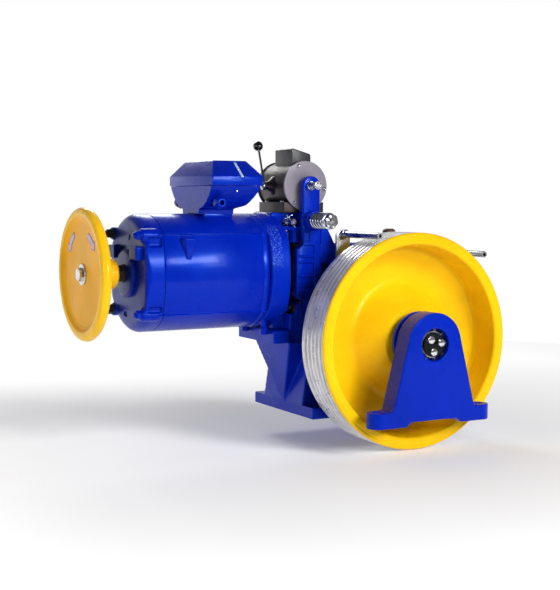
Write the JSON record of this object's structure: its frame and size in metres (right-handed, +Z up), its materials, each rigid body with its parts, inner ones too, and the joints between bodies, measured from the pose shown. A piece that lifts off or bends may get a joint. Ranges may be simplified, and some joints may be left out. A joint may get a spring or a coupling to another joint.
{
  "type": "elevator traction machine",
  "caption": "Geared lift traction machine: flange motor, drum brake with magnet, worm gearbox, grooved sheave and outboard bearing pedestal.",
  "frame": {"origin": "centre of the four gearbox foot bolts, on the underside of the foot", "axes": "+Z up; X along the worm and motor axis, with the motor and handwheel towards -X; Y along the slow shaft, with the sheave and pedestal towards -Y"},
  "size_m": [1.325, 0.707, 0.968],
  "materials": {
    "blue_paint": "glossy enamel over cast iron",
    "yellow_paint": "glossy enamel",
    "black_paint": "satin",
    "grey_paint": "satin",
    "bright_steel": "machined",
    "dark_steel": "oiled",
    "zinc": "bright zinc plate",
    "cast_iron": "machined",
    "bronze": "machined",
    "copper": "varnished winding",
    "rubber": "matte",
    "lining": "matte friction material",
    "black_plastic": "gloss",
    "brown_plastic": "matte",
    "blue_plastic": "satin"
  },
  "bodies": {
    "machine": {"gearbox_housing": "blue_paint", "gearbox_rear_cover": "blue_paint", "gearbox_cover_bolts": "zinc", "slow_shaft_bearings": "bright_steel", "slow_shaft_seal": "rubber", "worm_bearings": "bright_steel", "worm_end_cover": "blue_paint", "breather": "brown_plastic", "sight_glass": "bronze", "brake_housing": "blue_paint", "housing_bolts": "zinc", "arm_pivot_pins": "bright_steel", "brake_tie_rod": "zinc", "spring_nuts": "zinc", "brake_springs": "dark_steel", "magnet_base": "black_paint", "magnet_body": "black_paint", "magnet_coils": "copper", "magnet_covers": "grey_paint", "magnet_connector_box": "black_paint", "magnet_screws": "zinc", "motor_frame": "blue_paint", "motor_end_shield": "blue_paint", "motor_drive_flange": "blue_paint", "stator_core": "dark_steel", "stator_windings": "copper", "motor_bearings": "bright_steel", "motor_bearing_cap": "blue_paint", "terminal_box": "blue_paint", "terminal_box_lid": "blue_paint", "terminal_board": "brown_plastic", "cable_glands": "blue_plastic", "rope_guard_bracket": "bright_steel", "rope_guard_rods": "zinc", "outboard_pedestal": "blue_paint", "outboard_bearing": "bright_steel", "outboard_bearing_cover": "blue_paint"},
    "fast_shaft": {"motor_shaft": "bright_steel", "rotor": "dark_steel", "coupling_half": "cast_iron", "brake_drum": "cast_iron", "worm_shaft": "bright_steel", "handwheel": "yellow_paint", "handwheel_bolt": "zinc"},
    "slow_shaft_set": {"slow_shaft": "bright_steel", "worm_wheel_hub": "cast_iron", "worm_wheel_rim": "bronze", "sheave": "yellow_paint", "shaft_end_plate": "black_paint", "shaft_end_bolts": "zinc"},
    "arm_front": {"brake_arm_front": "blue_paint", "brake_lining_front": "lining", "brake_adjuster_front": "zinc"},
    "arm_rear": {"brake_arm_rear": "blue_paint", "brake_lining_rear": "lining", "brake_adjuster_rear": "zinc"},
    "release": {"release_lever": "zinc", "release_knob": "black_plastic"},
    "plunger_f": {"plunger_front": "bright_steel"},
    "plunger_r": {"plunger_rear": "bright_steel"}
  },
  "joints": [
    {"name": "sheave_spin", "type": "hinge", "parent": "machine", "child": "slow_shaft_set", "pos_m": [0, 0, 0.246], "axis": [0, 1, 0], "continuous": true},
    {"name": "worm_spin", "type": "hinge", "parent": "machine", "child": "fast_shaft", "pos_m": [0, 0, 0.463], "axis": [1, 0, 0], "continuous": true},
    {"name": "release", "type": "hinge", "parent": "machine", "child": "release", "pos_m": [-0.358, 0, 0.731], "axis": [1, 0, 0], "range_deg": [0, 38], "stiffness_Nm_per_rad": 2},
    {"name": "arm_front_swing", "type": "hinge", "parent": "machine", "child": "arm_front", "pos_m": [-0.258, -0.114, 0.345], "axis": [1, 0, 0], "range_deg": [0, 0.5], "deforming": ["brake_springs"]},
    {"name": "arm_rear_swing", "type": "hinge", "parent": "machine", "child": "arm_rear", "pos_m": [-0.258, 0.114, 0.345], "axis": [1, 0, 0], "range_deg": [-0.5, 0]},
    {"name": "plunger_front_slide", "type": "slide", "parent": "machine", "child": "plunger_f", "axis": [0, -1, 0], "range_m": [0, 0.0035]},
    {"name": "plunger_rear_slide", "type": "slide", "parent": "machine", "child": "plunger_r", "axis": [0, 1, 0], "range_m": [0, 0.0035]}
  ],
  "couplings": [
    {"joint": "worm_spin", "follows": "sheave_spin", "ratio": -26.5},
    {"joint": "arm_front_swing", "follows": "release", "ratio": 0.0131},
    {"joint": "arm_rear_swing", "follows": "release", "ratio": -0.0131},
    {"joint": "plunger_front_slide", "follows": "release", "m_per_rad": 0.0051},
    {"joint": "plunger_rear_slide", "follows": "release", "m_per_rad": 0.0051}
  ]
}
